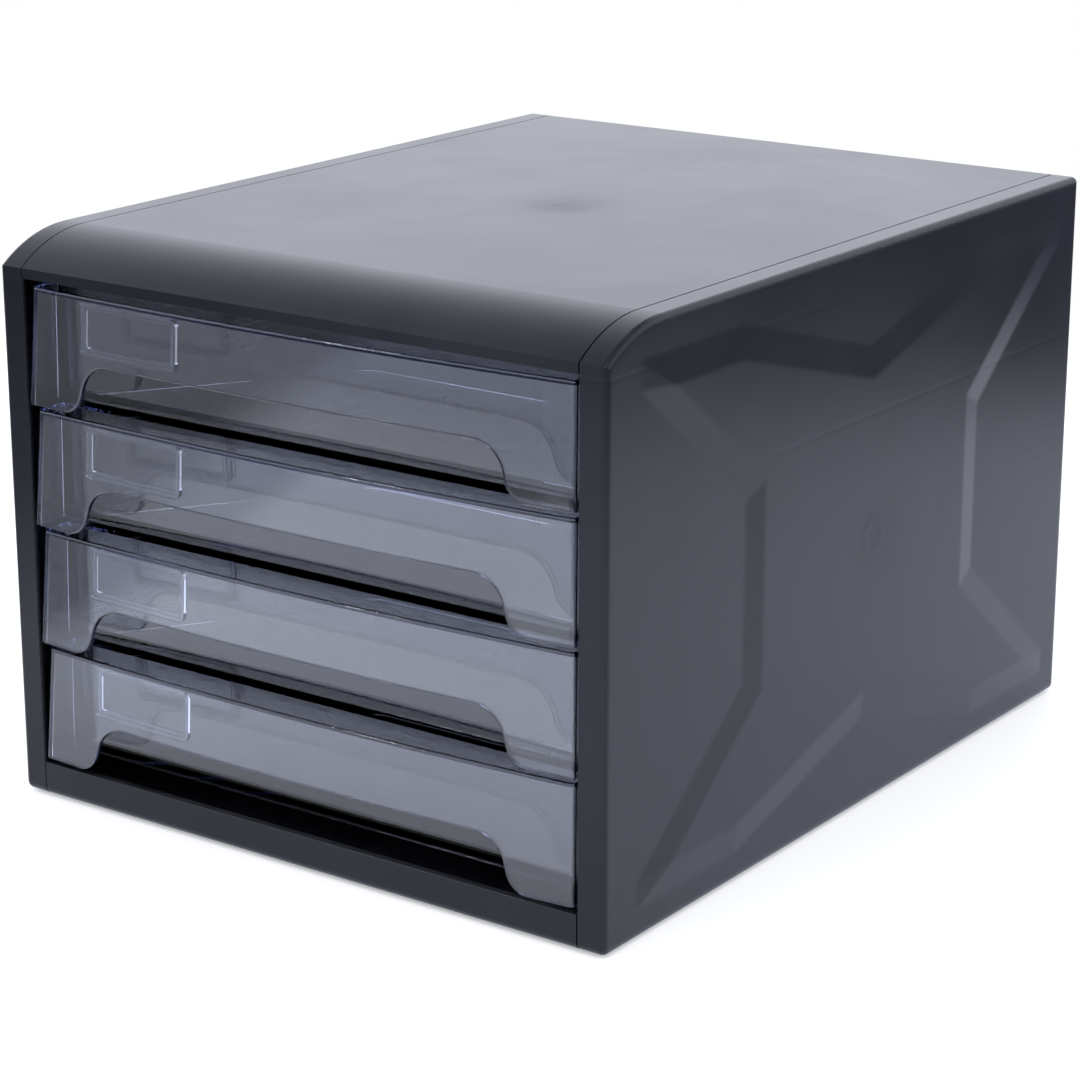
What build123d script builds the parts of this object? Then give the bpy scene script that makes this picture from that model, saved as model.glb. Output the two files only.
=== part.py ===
from build123d import *
from math import radians, sqrt, tan
import os

# Letter tray stack: a dark cabinet of five snapped-together panels with four clear drawers.
# Millimetres. X runs to the right, the drawers open towards -Y, +Z is up. The model is drawn with
# Y = 0 on the front edge of the side panels, and moved at the end so that the origin lies at the
# centre of the bottom of the whole object's box.

# ---- cabinet, overall ----
cabinet_width = 270.0
cabinet_depth = 334.6
cabinet_height = 218.4
foot_gap = 1.0
wall = 2.6
rim_width = 10.6
seam = 0.6

# ---- outline of the cabinet seen from the side ----
nose_length = 33.5
nose_drop = 11.4
front_bottom_radius = 3.5
rear_corner_radius = 2.5
side_edge_radius = 2.2

# ---- raised star on each side panel ----
star_relief = 1.2
star_slope_width = 11.2
star_front_margin = 20.0
star_rear_margin = 13.5
star_top_margin = 13.4
star_bottom_margin = 11.8
star_tip_height = 10.0
star_shoulder_length = 63.0
star_notch_depth = 24.5
star_waist_depth = 66.0
star_waist_height = 67.0
star_root = 1.0

# ---- top cover ----
lip_gap = 3.0
tongue_thickness = 2.2
tongue_reach = 5.4
tongue_root = 5.0
tongue_front_gap = 6.5
tongue_end_gap = 3.0
nose_tab_gap = 0.3

# ---- base panel and feet ----
rail_height = 13.5
rail_edge_radius = 0.6
base_tongue_front_y = 6.0
foot_radius = 6.0
foot_recess = 0.8
foot_clearance = 0.1
foot_inset_x = 30.0
foot_inset_front = 32.0
foot_inset_rear = 34.0

# ---- back panel ----
back_thickness = 2.4
back_side_reach = 5.4

# ---- drawer fronts ----
drawer_count = 4
rail_to_front = 2.2
last_pitch_to_top = 15.7
front_to_front = 2.5
front_end_gap = 1.4
front_end_taper = 1.4
front_foot_y = -0.6
front_lean = 2.7
front_bow = 4.5
front_thickness = 2.0
front_corner_radius = 2.2
front_top_radius = 0.8
ledge_thickness = 2.0
pocket_rear_y = 14.0
pocket_corner_radius = 0.8
pocket_rear_radius = 0.4

# ---- finger cutout in each drawer front ----
arch_height = 19.2
arch_end_inset = 31.6
arch_side_angle = 72.0
arch_top_radius = 13.0
arch_foot_radius = 9.0
arch_edge_radius = 0.5
arch_shoulder = 14.0

# ---- drawer trays ----
tray_side_gap = 2.8
tray_wall = 2.0
tray_floor = 2.4
tray_lift = 0.7
tray_side_drop = 2.8
tray_rear_gap = 3.0
tray_inner_radius = 8.0
tray_outer_radius = 5.0
tray_floor_radius = 1.0
pad_front_inset = 20.1
pad_rear_inset = 78.6
pad_depth = 89.0
pad_corner_radius = 8.0
pad_rise = 0.8

# ---- runners moulded into the side panels ----
runner_thickness = 2.4
runner_gap = 0.3
runner_overlap = 9.0
runner_front_y = 17.5
runner_end_gap = 0.2
guide_clearance = 0.6
guide_thickness = 2.0
guide_height = 5.0

# ---- drawer stop: a tab on the tray meets a nib under the runner above ----
stop_gap = 0.3
nib_length = 2.5
nib_drop = 1.2
tab_length = 8.0
tab_rear_inset = 43.3
tab_top_clearance = 0.4

# ---- clear label pocket behind each drawer front ----
label_end_inset = 26.0
label_above_arch = 2.8
label_below_ledge = 0.5
label_width = 48.0
label_depth = 2.0
label_rim = 1.6
label_lip = 1.2
label_slot = 1.1
label_corner_radius = 3.0
label_window_radius = 1.0
label_gap = 0.08

# ---- places worked out from the sizes above ----
half_width = cabinet_width / 2
rim_inner_x = half_width - rim_width
wall_inner_x = half_width - wall
panel_half_width = rim_inner_x - seam
rail_top = foot_gap + rail_height
first_front_bottom = rail_top + rail_to_front
drawer_pitch = (cabinet_height - last_pitch_to_top - first_front_bottom) / drawer_count
front_height = drawer_pitch - front_to_front
last_front_top = cabinet_height - last_pitch_to_top - front_to_front
nose_radius = (nose_length**2 + nose_drop**2) / (2 * nose_drop)
nose_centre_z = cabinet_height - nose_radius
lip_bottom = last_front_top + lip_gap
floor_top = foot_gap + wall
roof_bottom = cabinet_height - wall
back_front_y = cabinet_depth - wall - back_thickness
front_foot_half_width = rim_inner_x - front_end_gap
arch_half_width = front_foot_half_width - arch_end_inset
tray_half_width = rim_inner_x - tray_side_gap
tray_front_y = pocket_rear_y
tray_rear_y = back_front_y - tray_rear_gap
tray_bottom = tray_lift
tray_rim = front_height - tray_side_drop
runner_top = tray_bottom - runner_gap
nib_rear_y = runner_front_y + nib_length
tab_front_y = tray_rear_y - tab_rear_inset - tab_length
tab_top = runner_top + drawer_pitch - runner_thickness - tab_top_clearance
drawer_travel = tab_front_y - nib_rear_y - stop_gap
label_centre_x = label_end_inset + label_width / 2 - front_foot_half_width
label_bottom = arch_height + label_above_arch
label_height = front_height - ledge_thickness - label_below_ledge - label_bottom
reach = 20.0
overshoot = 1.0
tolerance = 0.01


def front_end_y(z):
    """Y of a drawer front's ends, z above the front's bottom edge."""
    return front_foot_y + front_lean * z / front_height


def front_half_width(z):
    """Half the width of a drawer front, z above the front's bottom edge."""
    return front_foot_half_width - front_end_taper * z / front_height


foremost_y = front_end_y(arch_height) - front_bow
centre_y = (foremost_y + cabinet_depth) / 2
to_origin = Pos(0, -centre_y, 0)


def block(x0, x1, y0, y1, z0, z1):
    """A box between two corners."""
    size = (x1 - x0, y1 - y0, z1 - z0)
    return Pos((x0 + x1) / 2, (y0 + y1) / 2, (z0 + z1) / 2) * Box(*size)


def disc(radius, height):
    """An upright cylinder standing on Z = 0."""
    return Cylinder(radius, height, align=(Align.CENTER, Align.CENTER, Align.MIN))


def along_x(face, x0, x1):
    """A face drawn at X = 0, extruded from x0 to x1."""
    return extrude(Pos(x0, 0, 0) * face, x1 - x0, dir=(1, 0, 0))


def along_y(face, y0, y1):
    """A face drawn at Y = 0, extruded from y0 to y1."""
    return extrude(Pos(0, y0, 0) * face, y1 - y0, dir=(0, 1, 0))


def nose_z(y, inset):
    """Height of the nose's arc above y, with the outline moved inwards by inset."""
    return nose_centre_z + sqrt((nose_radius - inset) ** 2 - (nose_length - y) ** 2)


def side_outline(inset):
    """The cabinet's side outline at X = 0, moved inwards by inset."""
    front = inset
    bottom = foot_gap + inset
    rear = cabinet_depth - inset
    top = cabinet_height - inset
    middle_y = (front + nose_length) / 2
    kink = (0, front, nose_z(front, inset))
    middle = (0, middle_y, nose_z(middle_y, inset))
    crown = (0, nose_length, top)
    nose = ThreePointArc(kink, middle, crown)
    rest = Polyline(crown, (0, rear, top), (0, rear, bottom), (0, front, bottom), kink)
    outline = make_face([nose] + rest.edges())
    if inset < rear_corner_radius:
        rear_corners = outline.vertices().group_by(Axis.Y)[-1]
        outline = fillet(rear_corners, rear_corner_radius - inset)
    if inset < front_bottom_radius:
        front_corner = outline.vertices().group_by(Axis.Y)[0].sort_by(Axis.Z)[0]
        outline = fillet(front_corner, front_bottom_radius - inset)
    return outline


def star_outline():
    """The star's outer corners as (y, z), and the edges too short to keep a slope of their own."""
    front = star_front_margin
    rear = cabinet_depth - star_rear_margin
    bottom = star_bottom_margin
    top = cabinet_height - star_top_margin
    middle_y = (front + rear) / 2
    middle_z = (bottom + top) / 2
    half_waist = star_waist_height / 2
    corners = [
        (front, top - star_tip_height),
        (front, top),
        (front + star_shoulder_length, top),
        (middle_y, top - star_notch_depth),
        (rear - star_shoulder_length, top),
        (rear, top),
        (rear, top - star_tip_height),
        (rear - star_waist_depth, middle_z + half_waist),
        (rear - star_waist_depth, middle_z - half_waist),
        (rear, bottom + star_tip_height),
        (rear, bottom),
        (rear - star_shoulder_length, bottom),
        (middle_y, bottom + star_notch_depth),
        (front + star_shoulder_length, bottom),
        (front, bottom),
        (front, bottom + star_tip_height),
        (front + star_waist_depth, middle_z - half_waist),
        (front + star_waist_depth, middle_z + half_waist),
    ]
    tips = (0, 5, 9, 14)
    return corners, tips


def inset_corner(a, b, c, d, inset):
    """Where the lines a-b and c-d cross, both moved inwards by inset. Corners run clockwise."""
    lines = []
    for p, q in ((a, b), (c, d)):
        dy, dz = q[0] - p[0], q[1] - p[1]
        length = sqrt(dy**2 + dz**2)
        normal = (dz / length, -dy / length)
        lines.append((normal, normal[0] * p[0] + normal[1] * p[1] + inset))
    (n, m), (r, s) = lines
    det = n[0] * r[1] - n[1] * r[0]
    return ((m * r[1] - s * n[1]) / det, (n[0] * s - r[0] * m) / det)


def star_cap():
    """The raised star: a flat top with sloping borders, on the outside of the right panel."""
    outer, tips = star_outline()
    count = len(outer)
    inner = []
    for i in range(count):
        first = i - 2 if (i - 1) % count in tips else i - 1
        last = i + 1 if i in tips else i
        a, b = outer[first], outer[(first + 1) % count]
        c, d = outer[last], outer[(last + 1) % count]
        inner.append(inset_corner(a, b, c, d, star_slope_width))
    low_x, foot_x, top_x = half_width - star_root, half_width, half_width + star_relief

    def polygon(points):
        return Face(Wire.make_polygon(points, close=True))

    faces = [polygon([(low_x, y, z) for y, z in outer])]
    faces.append(polygon([(top_x, *inner[i]) for i in range(count) if i not in tips]))
    for i in range(count):
        j = (i + 1) % count
        wall_points = [(low_x, *outer[i]), (low_x, *outer[j]), (foot_x, *outer[j]), (foot_x, *outer[i])]
        faces.append(polygon(wall_points))
        slope = [(foot_x, *outer[i]), (foot_x, *outer[j]), (top_x, *inner[j])]
        if i not in tips:
            slope.append((top_x, *inner[i]))
        faces.append(polygon(slope))
    return Solid(Shell(faces))


def runner(level, with_guide, with_nib):
    """One moulded runner on the right panel. level is its upper face."""
    inner_x = tray_half_width - runner_overlap
    rear_y = back_front_y - runner_end_gap
    bottom = level - runner_thickness
    ledge = block(inner_x, wall_inner_x, runner_front_y, rear_y, bottom, level)
    if with_guide:
        guide_x = tray_half_width + guide_clearance
        top = level + guide_height
        ledge += block(guide_x, guide_x + guide_thickness, runner_front_y, rear_y, level, top)
    if with_nib:
        ledge += block(inner_x, tray_half_width, runner_front_y, nib_rear_y, bottom - nib_drop, bottom)
    return ledge


def right_side_panel():
    """Right side: outer wall with its rim, the raised star and the runners."""
    shell = along_x(side_outline(0), rim_inner_x, half_width)
    outer_edges = shell.faces().sort_by(Axis.X)[-1].edges()
    shell = fillet(outer_edges, side_edge_radius)
    shell -= along_x(side_outline(wall), rim_inner_x, wall_inner_x)
    shell += star_cap()
    for i in range(drawer_count + 1):
        level = first_front_bottom + i * drawer_pitch + runner_top
        shell += runner(level, with_guide=i < drawer_count, with_nib=i > 0)
    return shell


def top_cover():
    """Roof between the side panels, curved down over the front, with a short lip at the rear."""
    band = side_outline(0) - side_outline(wall)
    cover = along_x(band, -panel_half_width, panel_half_width)
    cover &= block(-half_width, half_width, -reach, cabinet_depth + reach, lip_bottom, cabinet_height)
    tongue_x = rim_inner_x + tongue_reach
    root_x = panel_half_width - tongue_root
    front, rear = nose_length + tongue_front_gap, back_front_y - tongue_end_gap
    for side in (-1, 1):
        x0, x1 = sorted((side * root_x, side * tongue_x))
        cover += block(x0, x1, front, rear, roof_bottom - tongue_thickness, roof_bottom)
        tab_high = nose_z(wall, wall) - nose_tab_gap
        cover += block(x0, x1, wall, wall + tongue_thickness, lip_bottom, tab_high)
    return cover


def base_panel():
    """Floor between the side panels with the front rail, side tongues and foot recesses."""
    band = side_outline(0) - side_outline(wall)
    base = along_x(band, -panel_half_width, panel_half_width)
    rail_space = block(-half_width, half_width, -reach, wall, 0, rail_top)
    floor_space = block(-half_width, half_width, -reach, cabinet_depth + reach, 0, floor_top)
    base &= rail_space + floor_space
    rail_edge = base.edges().filter_by(Axis.X).group_by(Axis.Z)[-1].sort_by(Axis.Y)[0]
    base = fillet(rail_edge, rail_edge_radius)
    tongue_x = rim_inner_x + tongue_reach
    root_x = panel_half_width - tongue_root
    for side in (-1, 1):
        x0, x1 = sorted((side * root_x, side * tongue_x))
        rear = back_front_y - tongue_end_gap
        base += block(x0, x1, base_tongue_front_y, rear, floor_top, floor_top + tongue_thickness)
    for x, y in foot_places():
        base -= Pos(x, y, foot_gap) * disc(foot_radius + foot_clearance, foot_recess)
    return base


def back_panel():
    """Plain rear wall, held between the rear rims and the runners' ends."""
    side_x = rim_inner_x + back_side_reach
    return block(-side_x, side_x, back_front_y, back_front_y + back_thickness, floor_top, roof_bottom)


def foot_places():
    """Centres of the four feet: front left, front right, rear left, rear right."""
    x = half_width - foot_inset_x
    front, rear = foot_inset_front, cabinet_depth - foot_inset_rear
    return [(-x, front), (x, front), (-x, rear), (x, rear)]


def foot(x, y):
    """A stuck-in rubber disc, standing proud of the base by the foot gap."""
    return Pos(x, y, 0) * disc(foot_radius, foot_gap + foot_recess)


def front_section(z, inset, back_y, corner_radius):
    """Plan outline of the hollow drawer front at height z: bowed in front, straight behind."""
    half = front_half_width(z) - inset
    end_y = front_end_y(z) + inset
    bow = ThreePointArc((-half, end_y, z), (0, end_y - front_bow, z), (half, end_y, z))
    rest = Polyline((half, end_y, z), (half, back_y, z), (-half, back_y, z), (-half, end_y, z))
    section = make_face([bow] + rest.edges())
    corners = [v for v in section.vertices() if abs(v.Y - end_y) < tolerance]
    return fillet(corners, corner_radius)


def front_body(z0, z1, inset, back_y, corner_radius):
    """The drawer front's leaning block between two heights, moved inwards by inset."""
    low = front_section(z0, inset, back_y, corner_radius)
    high = front_section(z1, inset, back_y, corner_radius)
    return loft([low, high], ruled=True)


def arch_shape():
    """The finger cutout seen from the front: a flat arch with an S-curve at each end."""
    foot_x = arch_half_width + arch_height / tan(radians(arch_side_angle))
    outer_x = foot_x + arch_shoulder
    points = [
        (-outer_x, 0, -reach), (-outer_x, 0, 0), (-foot_x, 0, 0), (-arch_half_width, 0, arch_height),
        (arch_half_width, 0, arch_height), (foot_x, 0, 0), (outer_x, 0, 0), (outer_x, 0, -reach),
    ]
    shape = make_face(Polyline(*points, close=True))
    at_foot = [v for v in shape.vertices() if abs(v.Z) < tolerance]
    feet = [v for v in at_foot if abs(abs(v.X) - foot_x) < tolerance]
    shape = fillet(feet, arch_foot_radius)
    crown = [v for v in shape.vertices() if abs(v.Z - arch_height) < tolerance]
    return fillet(crown, arch_top_radius)


def floor_pad():
    """The low raised field in the front of the tray's floor, wide in front and narrow behind."""
    z = tray_bottom + tray_floor
    rear_y = tray_front_y + pad_depth
    front_x = tray_half_width - pad_front_inset
    rear_x = tray_half_width - pad_rear_inset
    points = [
        (-front_x, tray_front_y, z), (front_x, tray_front_y, z),
        (rear_x, rear_y, z), (-rear_x, rear_y, z),
    ]
    shape = make_face(Polyline(*points, close=True))
    shape = fillet(shape.vertices().group_by(Axis.Y)[-1], pad_corner_radius)
    return extrude(shape, pad_rise, dir=(0, 0, 1))


def tray_box():
    """The open box of a drawer, with its front wall as high as the drawer front."""
    box = block(-tray_half_width, tray_half_width, tray_front_y, tray_rear_y, tray_bottom, front_height)
    box = fillet(box.edges().filter_by(Axis.Z).group_by(Axis.Y)[-1], tray_outer_radius)
    inner_x = tray_half_width - tray_wall
    inner_front, inner_rear = tray_front_y + tray_wall, tray_rear_y - tray_wall
    above = front_height + reach
    inside = block(-inner_x, inner_x, inner_front, inner_rear, tray_bottom + tray_floor, above)
    inside = fillet(inside.edges().filter_by(Axis.Z), tray_inner_radius)
    box -= fillet(inside.faces().sort_by(Axis.Z)[0].edges(), tray_floor_radius)
    box -= block(-half_width, half_width, inner_front, tray_rear_y + reach, tray_rim, above)
    for side in (-1, 1):
        x0, x1 = sorted((side * inner_x, side * tray_half_width))
        box += block(x0, x1, tab_front_y, tab_front_y + tab_length, tray_rim, tab_top)
    return box


def drawer():
    """One clear drawer: tray, finger pocket and bowed front in one moulding, front's bottom at Z = 0."""
    join_y = tray_front_y + tray_wall
    outer = front_body(0, front_height, 0, join_y, front_corner_radius)
    top_edges = outer.faces().sort_by(Axis.Z)[-1].edges()
    outer = fillet([e for e in top_edges if e.center().Y < join_y - tolerance], front_top_radius)
    pocket_top = front_height - ledge_thickness
    pocket = front_body(-overshoot, pocket_top, front_thickness, pocket_rear_y, pocket_corner_radius)
    rear_corners = pocket.faces().sort_by(Axis.Y)[-1].edges().group_by(Axis.Z)[1]
    hood = outer - fillet(rear_corners, pocket_rear_radius)
    arch = along_y(arch_shape(), -reach, pocket_rear_y - tray_wall)
    open_hood = hood - arch
    arch_edges = new_edges(hood, arch, combined=open_hood)
    return fillet(arch_edges, arch_edge_radius) + tray_box() + floor_pad()


def label_pocket():
    """A clear frame for a paper label behind the drawer front. The paper slides in from the left."""
    low, high = label_bottom - overshoot, label_bottom + label_height + overshoot

    def behind(depth):
        inset = front_thickness + label_gap + depth
        return front_body(low, high, inset, pocket_rear_y, pocket_corner_radius)

    middle = (label_centre_x, 0, label_bottom + label_height / 2)
    upright = Plane(origin=middle, x_dir=(1, 0, 0), z_dir=(0, -1, 0))
    outside = upright * RectangleRounded(label_width, label_height, label_corner_radius)
    frame = (behind(0) - behind(label_depth)) & along_y(outside, -reach, reach)
    edge = label_rim + label_lip
    window = RectangleRounded(label_width - 2 * edge, label_height - 2 * edge, label_window_radius)
    frame -= along_y(upright * window, -reach, reach)
    slot = Rectangle(label_width, label_height - 2 * label_rim)
    paper_space = along_y(upright * Pos(-label_rim, 0) * slot, -reach, reach)
    return frame - ((behind(0) - behind(label_slot)) & paper_space)


os.makedirs("parts", exist_ok=True)


def save(shape, name):
    """Write one piece, moved into the object's own frame."""
    export_step(to_origin * shape, f"parts/{name}.step")


right_panel = right_side_panel()
save(right_panel, "right_side_panel")
save(mirror(right_panel, about=Plane.YZ), "left_side_panel")
save(top_cover(), "top_cover")
save(base_panel(), "base_panel")
save(back_panel(), "back_panel")

foot_names = ["front_left", "front_right", "rear_left", "rear_right"]
for foot_name, place in zip(foot_names, foot_places()):
    save(foot(*place), f"foot_{foot_name}")

one_drawer = drawer()
one_label_pocket = label_pocket()
for number in range(1, drawer_count + 1):
    lift = Pos(0, 0, first_front_bottom + (drawer_count - number) * drawer_pitch)
    save(lift * one_drawer, f"drawer_{number}")
    save(lift * one_label_pocket, f"label_pocket_{number}")
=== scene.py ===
"""Looks, light and camera for a desktop letter tray stack with four clear drawers.

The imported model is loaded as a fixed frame. The moulded pieces keep their own meshes and get
procedural materials here, and a pale table, a soft studio and a camera are set up round them.
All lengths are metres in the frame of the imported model, unless a name says otherwise.
"""

import logging
import math
from dataclasses import dataclass, field
from enum import Enum

import bpy
from mathutils import Euler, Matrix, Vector


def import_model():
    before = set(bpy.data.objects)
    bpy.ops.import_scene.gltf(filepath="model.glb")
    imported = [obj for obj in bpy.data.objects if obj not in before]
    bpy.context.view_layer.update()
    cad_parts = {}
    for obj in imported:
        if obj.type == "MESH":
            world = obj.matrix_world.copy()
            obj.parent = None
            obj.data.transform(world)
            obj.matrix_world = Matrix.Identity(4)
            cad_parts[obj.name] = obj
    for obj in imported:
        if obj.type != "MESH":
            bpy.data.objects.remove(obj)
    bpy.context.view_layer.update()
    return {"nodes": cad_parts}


LOG = logging.getLogger("letter_tray_stack")
MM = 0.001
WHITE = (1.0, 1.0, 1.0)
BOUNCES = 24
THROUGH_BOUNCES = 20
GLOSSY_BOUNCES = 10

Colour = tuple[float, float, float]
Place = tuple[float, float, float]
Spot = tuple[float, float]
Span = tuple[float, float]


# ---------------------------------------------------------------------------------------------
# Shader helpers
# ---------------------------------------------------------------------------------------------


class Signal:
    """A shader socket that Python's operators work on."""

    def __init__(self, sheet: "NodeSheet", socket: bpy.types.NodeSocket) -> None:
        """Wrap a socket.

        Args:
            sheet: The node sheet that the socket belongs to.
            socket: An output socket.
        """
        self.sheet = sheet
        self.socket = socket

    def _math(self, operation: str, *operands: "Signal | float") -> "Signal":
        """Add one Math node.

        Args:
            operation: The Math node's operation.
            operands: Its inputs, in order.

        Returns:
            The node's result.
        """
        node = self.sheet.add("ShaderNodeMath", {"operation": operation}, dict(enumerate(operands)))
        return Signal(self.sheet, node.outputs[0])

    def __add__(self, other: "Signal | float") -> "Signal":
        """Self plus other."""
        return self._math("ADD", self, other)

    def __radd__(self, other: float) -> "Signal":
        """Other plus self."""
        return self._math("ADD", other, self)

    def __sub__(self, other: "Signal | float") -> "Signal":
        """Self minus other."""
        return self._math("SUBTRACT", self, other)

    def __rsub__(self, other: float) -> "Signal":
        """Other minus self."""
        return self._math("SUBTRACT", other, self)

    def __mul__(self, other: "Signal | float") -> "Signal":
        """Self times other."""
        return self._math("MULTIPLY", self, other)

    def __rmul__(self, other: float) -> "Signal":
        """Other times self."""
        return self._math("MULTIPLY", other, self)

    def __truediv__(self, other: "Signal | float") -> "Signal":
        """Self divided by other."""
        return self._math("DIVIDE", self, other)

    def __pow__(self, other: "Signal | float") -> "Signal":
        """Self to the power of other."""
        return self._math("POWER", self, other)

    def __abs__(self) -> "Signal":
        """Self without its sign."""
        return self._math("ABSOLUTE", self)

    def larger(self, other: "Signal | float") -> "Signal":
        """The larger of self and other."""
        return self._math("MAXIMUM", self, other)

    def ramp(self, low: float, high: float, start: float = 0.0, end: float = 1.0) -> "Signal":
        """Pass smoothly from start to end as self goes from low to high.

        Args:
            low: Value of self where the passage starts.
            high: Value of self where it ends.
            start: Result at and below low.
            end: Result at and above high.

        Returns:
            The eased value.
        """
        node = self.sheet.add(
            "ShaderNodeMapRange",
            {"interpolation_type": "SMOOTHSTEP"},
            {"Value": self, "From Min": low, "From Max": high, "To Min": start, "To Max": end},
        )
        return Signal(self.sheet, node.outputs[0])

    def bell(self, centre: float, width: float) -> "Signal":
        """A smooth bump of height 1 where self is near centre.

        Args:
            centre: Value of self at the top of the bump.
            width: Distance from the top at which the bump has fallen to about a third.

        Returns:
            The bump's height.
        """
        away = (self - centre) / width
        return self._math("POWER", math.e, -1.0 * away * away)

    def distance(self, other: "Signal") -> "Signal":
        """Distance of the point (self, other) from (0, 0).

        Args:
            other: The second coordinate.

        Returns:
            The distance.
        """
        return (self * self + other * other) ** 0.5


class NodeSheet:
    """One node tree, with a single way to add nodes to it."""

    def __init__(self, tree: bpy.types.NodeTree) -> None:
        """Start on an emptied tree.

        Args:
            tree: The node tree of a material or of the world.
        """
        self.tree = tree
        tree.nodes.clear()

    def add(
        self, kind: str, settings: dict | None = None, sockets: dict | None = None
    ) -> bpy.types.Node:
        """Add one node.

        Args:
            kind: The node's type.
            settings: The node's own properties, set before its sockets.
            sockets: Values or links of its inputs, by name or number.

        Returns:
            The new node.
        """
        node = self.tree.nodes.new(kind)
        for name, value in (settings or {}).items():
            setattr(node, name, value)
        for name, value in (sockets or {}).items():
            target = node.inputs[name]
            if isinstance(value, Signal):
                value = value.socket
            if isinstance(value, bpy.types.NodeSocket):
                self.tree.links.new(value, target)
            else:
                target.default_value = value
        return node

    def signal(self, node: bpy.types.Node, output: str | int = 0) -> Signal:
        """Wrap one output of a node.

        Args:
            node: The node.
            output: The output's name or number.

        Returns:
            The wrapped output.
        """
        return Signal(self, node.outputs[output])

    def place(self) -> bpy.types.NodeSocket:
        """The point on the piece, in metres, which moves with the piece."""
        return self.add("ShaderNodeTexCoord").outputs["Object"]

    def axes(self, vector: bpy.types.NodeSocket) -> tuple[Signal, Signal, Signal]:
        """Split a vector.

        Args:
            vector: A vector output.

        Returns:
            Its X, Y and Z parts.
        """
        node = self.add("ShaderNodeSeparateXYZ", None, {0: vector})
        return self.signal(node, 0), self.signal(node, 1), self.signal(node, 2)

    def noise(
        self, place: bpy.types.NodeSocket, size: float, detail: float, distortion: float = 0.0
    ) -> Signal:
        """Smooth noise from 0 to 1.

        Args:
            place: The point it is read at.
            size: Length of its largest features, in metres.
            detail: How many finer layers are added.
            distortion: How far the features are swirled.

        Returns:
            The noise.
        """
        scale = (1.0 / size,) * 3
        scaled = self.add("ShaderNodeVectorMath", {"operation": "MULTIPLY"}, {0: place, 1: scale})
        node = self.add(
            "ShaderNodeTexNoise", None,
            {"Vector": scaled.outputs[0], "Scale": 1.0, "Detail": detail, "Distortion": distortion},
        )
        return self.signal(node, 0)

    def blend(
        self, share: Signal, first: "Colour | bpy.types.NodeSocket", second: Colour
    ) -> bpy.types.NodeSocket:
        """Mix two colours.

        Args:
            share: 0 for the first colour, 1 for the second.
            first: The first colour, linear, or an output that gives one.
            second: The second colour, linear.

        Returns:
            The mixed colour.
        """
        node = self.add(
            "ShaderNodeMix", {"data_type": "RGBA"},
            {0: share, 6: rgba(first) if isinstance(first, tuple) else first, 7: rgba(second)},
        )
        return node.outputs[2]

    def relief(
        self, height: Signal, unit: float, normal: bpy.types.NodeSocket | None = None
    ) -> bpy.types.NodeSocket:
        """Turn a height into a normal.

        Args:
            height: Height of the surface.
            unit: Metres that a height of 1 stands for.
            normal: The normal to bend, if it isn't the surface's own.

        Returns:
            The bent normal.
        """
        sockets = {"Strength": 1.0, "Distance": unit, "Height": height}
        if normal:
            sockets["Normal"] = normal
        return self.add("ShaderNodeBump", None, sockets).outputs[0]


def rgba(colour: Colour) -> tuple[float, float, float, float]:
    """A colour as a colour socket takes it, fully opaque."""
    return (*colour, 1.0)


def shaded(colour: Colour, factor: float) -> Colour:
    """A colour made brighter or darker.

    Args:
        colour: The colour, linear.
        factor: What each part is multiplied by.

    Returns:
        The new colour.
    """
    return tuple(part * factor for part in colour)


# ---------------------------------------------------------------------------------------------
# Finishes
# ---------------------------------------------------------------------------------------------


class Side(Enum):
    """Which way a moulded panel's wide face looks."""

    ACROSS = "x"
    UP = "z"
    PLAIN = ""


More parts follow.
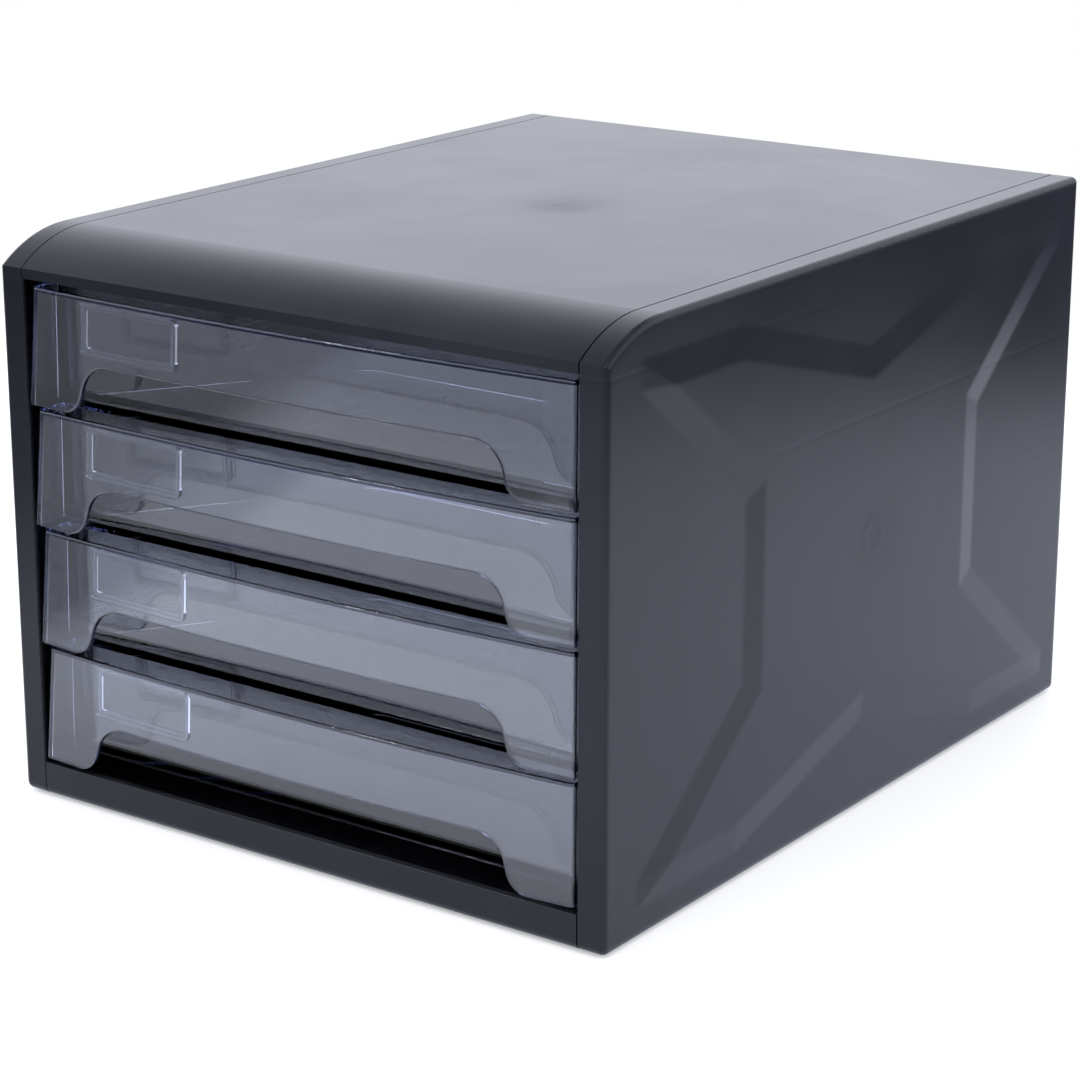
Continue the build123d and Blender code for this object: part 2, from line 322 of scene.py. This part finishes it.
@dataclass(frozen=True)
class BlackPlastic:
    """Blue-black moulded polystyrene: satin, a little wavy, with the marks that moulding leaves."""

    tint: Colour = (0.0062, 0.0068, 0.0092)
    gloss_tint: Colour = (0.90, 0.925, 1.0)
    tint_swing: float = 0.22
    gloss_roughness: float = 0.26
    ior: float = 1.352
    cloud_size: float = 75.6 * MM
    cloud_detail: float = 3.0
    cloud_span: Span = (0.3, 0.7)
    cloud_share: float = 0.6
    cloud_roughness: float = 0.09
    smudge_size: float = 24.0 * MM
    smudge_detail: float = 1.5
    smudge_span: Span = (0.35, 0.65)
    smudge_share: float = 0.4
    smudge_roughness: float = 0.03
    wave_size: float = 42.0 * MM
    wave_detail: float = 1.0
    wave_swirl: float = 0.6
    wave_depth_mm: float = 0.10
    ripple_size: float = 13.0 * MM
    ripple_detail: float = 1.0
    ripple_depth_mm: float = 0.008
    # Rounded-edge band: its lighter colour is partly rubbed wear and partly a painted sheen along the
    # rounding, and it is a little less rough.
    edge_begins: Span = (0.06, 0.3)
    edge_ends: Span = (0.86, 0.98)
    edge_wear_and_sheen_lift: float = 1.6
    edge_share: float = 0.5
    edge_polish: float = 0.03
    crease_span: Span = (0.95, 0.985)
    crease_radius: float = 3.0 * MM
    crease_samples: int = 6
    sink_heights: tuple[float, ...] = (0.0623, 0.1087, 0.1552, 0.2019)
    sink_width: float = 0.9 * MM
    sink_depth_mm: float = 0.013
    gate_radius: float = 6.0 * MM
    gate_ring_width: float = 1.8 * MM
    gate_ring_height_mm: float = 0.045
    gate_dimple_width: float = 15.6 * MM
    gate_dimple_depth_mm: float = 0.09
    gate_blush: float = 0.07

    def _gate(self, along: Signal, across: Signal, at: Spot) -> tuple[Signal, Signal]:
        """The shallow dimple and ring left at the mould's gate, with a duller blush round them.

        Args:
            along: First coordinate on the panel.
            across: Second coordinate on the panel.
            at: The gate's place in these coordinates.

        Returns:
            Its height in millimetres, and what it adds to the roughness.
        """
        distance = (along - at[0]).distance(across - at[1])
        ring = distance.bell(self.gate_radius, self.gate_ring_width)
        dimple = distance.bell(0.0, self.gate_dimple_width)
        height = ring * self.gate_ring_height_mm - dimple * self.gate_dimple_depth_mm
        return height, dimple * self.gate_blush

    def _soft_crease(
        self, sheet: NodeSheet, normal: bpy.types.NodeSocket, turn: Signal
    ) -> bpy.types.NodeSocket:
        """Round the shallow creases of a panel's wide face.

        Args:
            sheet: The node sheet.
            normal: The surface's own normal.
            turn: How squarely the surface looks across, 0 to 1.

        Returns:
            The rounded normal on the wide face, and the surface's own elsewhere.
        """
        rounded = sheet.add(
            "ShaderNodeBevel", {"samples": self.crease_samples}, {"Radius": self.crease_radius}
        )
        mixed = sheet.add(
            "ShaderNodeMix", {"data_type": "VECTOR"},
            {0: turn.ramp(*self.crease_span), 4: normal, 5: rounded.outputs[0]},
        )
        return mixed.outputs[1]

    def material(self, name: str, side: Side, gate: Spot | None = None) -> bpy.types.Material:
        """Build the material of one panel.

        Args:
            name: The material's name.
            side: Which way the panel's wide face looks.
            gate: Place of the moulding gate on that face, if it shows.

        Returns:
            The material.
        """
        made = bpy.data.materials.new(name)
        made.use_nodes = True
        sheet = NodeSheet(made.node_tree)
        place = sheet.place()
        x, y, z = sheet.axes(place)
        cloud = sheet.noise(place, self.cloud_size, self.cloud_detail)
        smudge = sheet.noise(place, self.smudge_size, self.smudge_detail)
        wave = sheet.noise(place, self.wave_size, self.wave_detail, self.wave_swirl)
        ripple = sheet.noise(place, self.ripple_size, self.ripple_detail)
        height = wave * self.wave_depth_mm + ripple * self.ripple_depth_mm
        normal = sheet.add("ShaderNodeNewGeometry").outputs["Normal"]
        turn = abs(sheet.axes(normal)[0])
        edge = turn.ramp(*self.edge_begins) * turn.ramp(*self.edge_ends, 1.0, 0.0)
        bent = None
        if side is Side.ACROSS:
            bent = self._soft_crease(sheet, normal, turn)
            for level in self.sink_heights:
                height = height - z.bell(level, self.sink_width) * self.sink_depth_mm
        share = cloud.ramp(*self.cloud_span) * self.cloud_share
        share = share + smudge.ramp(*self.smudge_span) * self.smudge_share
        dark, light = shaded(self.tint, 1.0 - self.tint_swing), shaded(self.tint, 1.0 + self.tint_swing)
        mottled = sheet.blend(share, dark, light)
        # Lighter colour on the rounded edges: partly rubbed wear, partly a painted sheen.
        worn_and_sheened = sheet.blend(edge * self.edge_share, mottled, shaded(self.tint, self.edge_wear_and_sheen_lift))
        rough = (cloud - 0.5) * self.cloud_roughness + (smudge - 0.5) * self.smudge_roughness
        rough = self.gloss_roughness + rough - edge * self.edge_polish
        if gate:
            along, across = (x, y) if side is Side.UP else (y, z)
            dent, blush = self._gate(along, across, gate)
            height = height + dent
            rough = rough + blush
        shader = sheet.add(
            "ShaderNodeBsdfPrincipled", None,
            {
                "Base Color": worn_and_sheened, "Roughness": rough, "IOR": self.ior,
                "Specular Tint": rgba(self.gloss_tint), "Normal": sheet.relief(height, MM, bent),
            },
        )
        sheet.add("ShaderNodeOutputMaterial", None, {"Surface": shader.outputs[0]})
        return made


@dataclass(frozen=True)
class ClearPlastic:
    """Clear polystyrene with a faint blue cast that deepens where light runs along a wall."""

    tint: Colour = (0.95, 0.965, 1.0)
    ior: float = 1.58
    tint_swing: float = 0.01
    gloss_roughness: float = 0.001
    roughness_swing: float = 0.004
    cast: Colour = (0.30, 0.38, 0.86)
    cast_density: float = 33.0
    wave_size: float = 30.0 * MM
    wave_detail: float = 1.0
    wave_depth_mm: float = 0.004
    haze_size: float = 9.0 * MM
    haze_detail: float = 3.0
    haze_roughness_span: Span = (0.35, 0.75)
    haze_tint_span: Span = (0.3, 0.7)

    def material(self, name: str) -> bpy.types.Material:
        """Build the material.

        Args:
            name: The material's name.

        Returns:
            The material.
        """
        made = bpy.data.materials.new(name)
        made.use_nodes = True
        sheet = NodeSheet(made.node_tree)
        place = sheet.place()
        wave = sheet.noise(place, self.wave_size, self.wave_detail)
        haze = sheet.noise(place, self.haze_size, self.haze_detail)
        rough = self.gloss_roughness + haze.ramp(*self.haze_roughness_span) * self.roughness_swing
        dull = shaded(self.tint, 1.0 - self.tint_swing)
        base = sheet.blend(haze.ramp(*self.haze_tint_span), dull, self.tint)
        shader = sheet.add(
            "ShaderNodeBsdfPrincipled", None,
            {
                "Base Color": base, "Roughness": rough, "IOR": self.ior, "Transmission Weight": 1.0,
                "Normal": sheet.relief(wave * self.wave_depth_mm, MM),
            },
        )
        inside = sheet.add(
            "ShaderNodeVolumeAbsorption", None,
            {"Color": rgba(self.cast), "Density": self.cast_density},
        )
        sheet.add(
            "ShaderNodeOutputMaterial", None,
            {"Surface": shader.outputs[0], "Volume": inside.outputs[0]},
        )
        return made


@dataclass(frozen=True)
class FootRubber:
    """Matt dark rubber with a fine nap."""

    tint: Colour = (0.021, 0.021, 0.022)
    tint_swing: float = 0.3
    least_roughness: float = 0.80
    roughness_swing: float = 0.1
    nap_size: float = 0.6 * MM
    nap_detail: float = 3.0
    nap_depth_mm: float = 0.03

    def material(self, name: str) -> bpy.types.Material:
        """Build the material.

        Args:
            name: The material's name.

        Returns:
            The material.
        """
        made = bpy.data.materials.new(name)
        made.use_nodes = True
        sheet = NodeSheet(made.node_tree)
        nap = sheet.noise(sheet.place(), self.nap_size, self.nap_detail)
        dark, light = shaded(self.tint, 1.0 - self.tint_swing), shaded(self.tint, 1.0 + self.tint_swing)
        base = sheet.blend(nap, dark, light)
        shader = sheet.add(
            "ShaderNodeBsdfPrincipled", None,
            {
                "Base Color": base,
                "Roughness": self.least_roughness + nap * self.roughness_swing,
                "Normal": sheet.relief(nap * self.nap_depth_mm, MM),
            },
        )
        sheet.add("ShaderNodeOutputMaterial", None, {"Surface": shader.outputs[0]})
        return made


@dataclass(frozen=True)
class PaleTable:
    """White laminate that reads as white to the camera, glows cool in reflections as painted light with
    a painted shadow in front of the stack, and fades out where mirror images darken.
    """

    tint: Colour = (0.81, 0.80, 0.78)
    tint_swing: float = 0.015
    roughness: float = 0.55
    roughness_swing: float = 0.1
    mottle_size: float = 20.0 * MM
    mottle_detail: float = 3.0
    mottle_depth_mm: float = 0.01
    seen_glow: float = 0.34
    mirrored_glow: float = 0.50
    mirrored_tint: Colour = (0.86, 0.98, 1.28)
    fade_centre: Spot = (-0.08, -0.12)
    fade_span: Span = (0.74, 0.98)
    front_dusk_span: Span = (-0.58, -0.72)
    front_dusk_share: float = 0.22
    left_dusk_heading: Spot = (-0.9, 0.3)
    left_dusk_span: Span = (0.16, 0.24)
    left_dusk_share: float = 0.80
    left_dusk_before: Span = (-0.15, -0.3)
    # Painted shadow: a band in front of the stack where the table's glow, as seen in reflections, is
    # darkened.
    painted_shadow_y: float = -0.20
    painted_shadow_width: float = 0.08
    painted_shadow_share: float = 0.45

    def _fade(self, x: Signal, y: Signal) -> Signal:
        """How far the table has faded out.

        It fades all round with distance, and in part in front and on the left.

        Args:
            x: First coordinate on the table.
            y: Second coordinate on the table.

        Returns:
            0 for the full table, 1 for none.
        """
        front = y.ramp(*self.front_dusk_span, 0.0, self.front_dusk_share)
        aside = x * self.left_dusk_heading[0] + y * self.left_dusk_heading[1]
        left = aside.ramp(*self.left_dusk_span, 0.0, self.left_dusk_share)
        left = left * y.ramp(*self.left_dusk_before)
        distance = (x - self.fade_centre[0]).distance(y - self.fade_centre[1])
        return distance.ramp(*self.fade_span).larger(front).larger(left)

    def material(self, name: str) -> bpy.types.Material:
        """Build the material.

        Args:
            name: The material's name.

        Returns:
            The material.
        """
        made = bpy.data.materials.new(name)
        made.use_nodes = True
        sheet = NodeSheet(made.node_tree)
        place = sheet.place()
        x, y, _ = sheet.axes(place)
        # Painted shadow of the stack on the table, darkening its glow in reflections near the front.
        painted_shadow = 1.0 - y.bell(self.painted_shadow_y, self.painted_shadow_width) * self.painted_shadow_share
        mottle = sheet.noise(place, self.mottle_size, self.mottle_detail)
        base = sheet.blend(mottle, shaded(self.tint, 1.0 - self.tint_swing), self.tint)
        path = sheet.add("ShaderNodeLightPath")
        seen = sheet.signal(path, "Is Camera Ray")
        mirrored = sheet.signal(path, "Is Glossy Ray").larger(sheet.signal(path, "Is Transmission Ray"))
        shader = sheet.add(
            "ShaderNodeBsdfPrincipled", None,
            {
                "Base Color": base, "Roughness": self.roughness + mottle * self.roughness_swing,
                "Normal": sheet.relief(mottle * self.mottle_depth_mm, MM),
            },
        )
        white = sheet.add("ShaderNodeEmission", None, {"Strength": seen * self.seen_glow})
        # Painted light: a cool glow that only reflections and views through clear walls see, though the
        # table is no lamp.
        painted_mirror_glow = sheet.add(
            "ShaderNodeEmission", None,
            {"Color": rgba(self.mirrored_tint), "Strength": self.mirrored_glow * mirrored * painted_shadow},
        )
        glow = sheet.add("ShaderNodeAddShader", None, {0: white.outputs[0], 1: painted_mirror_glow.outputs[0]})
        lit = sheet.add("ShaderNodeAddShader", None, {0: shader.outputs[0], 1: glow.outputs[0]})
        clear = sheet.add("ShaderNodeBsdfTransparent")
        faded = sheet.add(
            "ShaderNodeMixShader", None,
            {0: self._fade(x, y), 1: lit.outputs[0], 2: clear.outputs[0]},
        )
        sheet.add("ShaderNodeOutputMaterial", None, {"Surface": faded.outputs[0]})
        return made


# ---------------------------------------------------------------------------------------------
# Sub-assemblies
# ---------------------------------------------------------------------------------------------


def dress(piece: bpy.types.Object, material: bpy.types.Material) -> None:
    """Give every material slot of a piece one material.

    Args:
        piece: The piece.
        material: The material it gets.
    """
    for slot in piece.material_slots:
        slot.material = material
    LOG.info("%s dressed in %s", piece.name, material.name)


@dataclass
class Cabinet:
    """The five panels of the cabinet and its four feet."""

    finish: BlackPlastic = field(default_factory=BlackPlastic)
    rubber: FootRubber = field(default_factory=FootRubber)
    roof_gate: Spot = (0.003, -0.002)
    side_gate: Spot = (0.009, 0.108)
    side_nodes: tuple[str, ...] = ("left_side_panel", "right_side_panel")
    plain_nodes: tuple[str, ...] = ("base_panel", "back_panel")
    foot_nodes: tuple[str, ...] = (
        "foot_front_left", "foot_front_right", "foot_rear_left", "foot_rear_right",
    )

    def build(self, nodes: dict[str, bpy.types.Object]) -> None:
        """Dress the cabinet.

        Args:
            nodes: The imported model's pieces by name.
        """
        dress(nodes["top_cover"], self.finish.material("roof_black_plastic", Side.UP, self.roof_gate))
        side = self.finish.material("side_black_plastic", Side.ACROSS, self.side_gate)
        for name in self.side_nodes:
            dress(nodes[name], side)
        plain = self.finish.material("inner_black_plastic", Side.PLAIN)
        for name in self.plain_nodes:
            dress(nodes[name], plain)
        rubber = self.rubber.material("foot_rubber")
        for name in self.foot_nodes:
            dress(nodes[name], rubber)


def label_plastic() -> ClearPlastic:
    """The slightly duller clear plastic of the label frames."""
    return ClearPlastic(tint=(0.87, 0.89, 0.93), ior=1.45, gloss_roughness=0.10)


@dataclass
class DrawerSet:
    """The clear drawers and the label frames behind their fronts."""

    count: int = 4
    finish: ClearPlastic = field(default_factory=ClearPlastic)
    label_finish: ClearPlastic = field(default_factory=label_plastic)

    def build(self, nodes: dict[str, bpy.types.Object]) -> None:
        """Dress the drawers.

        Args:
            nodes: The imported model's pieces by name.
        """
        clear = self.finish.material("drawer_clear_plastic")
        label = self.label_finish.material("label_clear_plastic")
        for number in range(1, self.count + 1):
            dress(nodes[f"drawer_{number}"], clear)
            dress(nodes[f"label_pocket_{number}"], label)


# ---------------------------------------------------------------------------------------------
# Studio
# ---------------------------------------------------------------------------------------------


@dataclass
class Table:
    """The round pale table top that the stack stands on."""

    radius: float = 1.12
    rings: int = 28
    spokes: int = 96
    finish: PaleTable = field(default_factory=PaleTable)

    def build(self) -> bpy.types.Object:
        """Build the table top.

        Returns:
            The table.
        """
        points = [(0.0, 0.0, 0.0)]
        for ring in range(1, self.rings + 1):
            reach = self.radius * ring / self.rings
            for spoke in range(self.spokes):
                angle = 2.0 * math.pi * spoke / self.spokes
                points.append((reach * math.cos(angle), reach * math.sin(angle), 0.0))
        faces = [(0, 1 + spoke, 1 + (spoke + 1) % self.spokes) for spoke in range(self.spokes)]
        for ring in range(self.rings - 1):
            inner, outer = 1 + ring * self.spokes, 1 + (ring + 1) * self.spokes
            for spoke in range(self.spokes):
                after = (spoke + 1) % self.spokes
                faces.append((inner + spoke, outer + spoke, outer + after, inner + after))
        mesh = bpy.data.meshes.new("table_top")
        mesh.from_pydata(points, [], faces)
        table = bpy.data.objects.new("table_top", mesh)
        bpy.context.scene.collection.objects.link(table)
        mesh.materials.append(self.finish.material("pale_table"))
        LOG.info("table_top built, %d faces", len(faces))
        return table


@dataclass
class Studio:
    """A soft room: bright low walls, a dimmer ceiling, a large lamp and a small one."""

    tint: Colour = (0.95, 0.985, 1.09)
    below_tint: Colour = (0.86, 0.96, 1.26)
    horizon: float = 1.60
    ceiling: float = 0.40
    below: float = 0.22
    wall_span: Span = (0.38, 1.10)
    horizon_span: Span = (-0.02, 0.0)
    shown_through: float = 0.60
    lamp_power: float = 9.0
    lamp_size: float = 1.3
    lamp_place: Place = (0.45, -0.85, 1.35)
    spark_power: float = 1.3
    spark_size: float = 0.14
    spark_place: Place = (-0.78, -1.06, 0.89)

    def build(self) -> None:
        """Set up the world and the lamps."""
        self._world()
        self._lamp("overhead_softbox", self.lamp_power, self.lamp_size, self.lamp_place)
        self._lamp("front_spark", self.spark_power, self.spark_size, self.spark_place)

    def _world(self) -> None:
        """Light from all round, by height above the horizon, and white where it is seen directly."""
        world = bpy.data.worlds.new("soft_room")
        bpy.context.scene.world = world
        world.use_nodes = True
        sheet = NodeSheet(world.node_tree)
        direction = sheet.add("ShaderNodeTexCoord").outputs["Generated"]
        _, _, up = sheet.axes(direction)
        above = up.ramp(*self.horizon_span)
        under = up.ramp(*self.horizon_span, self.below, 0.0)
        level = above * up.ramp(*self.wall_span, self.horizon, self.ceiling) + under
        colour = sheet.blend(above, self.below_tint, self.tint)
        room = sheet.add("ShaderNodeBackground", None, {"Color": colour, "Strength": level})
        path = sheet.add("ShaderNodeLightPath")
        camera, through = sheet.signal(path, "Is Camera Ray"), sheet.signal(path, "Is Transmission Ray")
        seen = camera.larger(through)
        brightness = through * (self.shown_through - 1.0) + 1.0
        white = sheet.add("ShaderNodeBackground", None, {"Color": rgba(WHITE), "Strength": brightness})
        mixed = sheet.add(
            "ShaderNodeMixShader", None, {0: seen, 1: room.outputs[0], 2: white.outputs[0]}
        )
        sheet.add("ShaderNodeOutputWorld", None, {"Surface": mixed.outputs[0]})
        LOG.info("soft_room lit")

    def _lamp(self, name: str, power: float, size: float, place: Place) -> None:
        """Hang one round lamp that looks at the object.

        Args:
            name: The lamp's name.
            power: Its power in watts.
            size: Its diameter.
            place: Where it hangs.
        """
        data = bpy.data.lights.new(name, "AREA")
        data.shape = "DISK"
        data.size = size
        data.energy = power
        lamp = bpy.data.objects.new(name, data)
        lamp.location = place
        lamp.rotation_euler = (-Vector(place)).to_track_quat("-Z", "Y").to_euler()
        bpy.context.scene.collection.objects.link(lamp)
        LOG.info("%s hung at %s", name, place)


@dataclass
class StudioCamera:
    """The camera at the photograph's angle."""

    place: Place = (0.6850, -0.9711, 0.4488)
    azimuth_deg: float = 35.57
    pitch_deg: float = 17.06
    lens_mm: float = 104.8
    sensor_mm: float = 36.0
    clip_near: float = 0.01
    clip_far: float = 50.0

    def build(self) -> bpy.types.Object:
        """Set the camera up.

        Returns:
            The camera.
        """
        data = bpy.data.cameras.new("photo_angle")
        data.lens = self.lens_mm
        data.sensor_width = self.sensor_mm
        data.clip_start = self.clip_near
        data.clip_end = self.clip_far
        camera = bpy.data.objects.new("photo_angle", data)
        camera.location = self.place
        tilt = math.radians(90.0 - self.pitch_deg)
        camera.rotation_euler = Euler((tilt, 0.0, math.radians(self.azimuth_deg)))
        bpy.context.scene.collection.objects.link(camera)
        bpy.context.scene.camera = camera
        LOG.info("photo_angle camera placed")
        return camera


def plain_view() -> None:
    """Show colours as they are written, and let light pass through all the clear walls."""
    scene = bpy.context.scene
    scene.view_settings.view_transform = "Standard"
    scene.cycles.use_denoising = True
    scene.cycles.max_bounces = BOUNCES
    scene.cycles.transmission_bounces = THROUGH_BOUNCES
    scene.cycles.glossy_bounces = GLOSSY_BOUNCES


def main() -> None:
    """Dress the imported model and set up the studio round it."""
    logging.basicConfig(level=logging.INFO, format="%(name)s: %(message)s")
    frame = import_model()
    Cabinet().build(frame["nodes"])
    DrawerSet().build(frame["nodes"])
    Table().build()
    Studio().build()
    StudioCamera().build()
    plain_view()


if __name__ == "__main__":
    main()
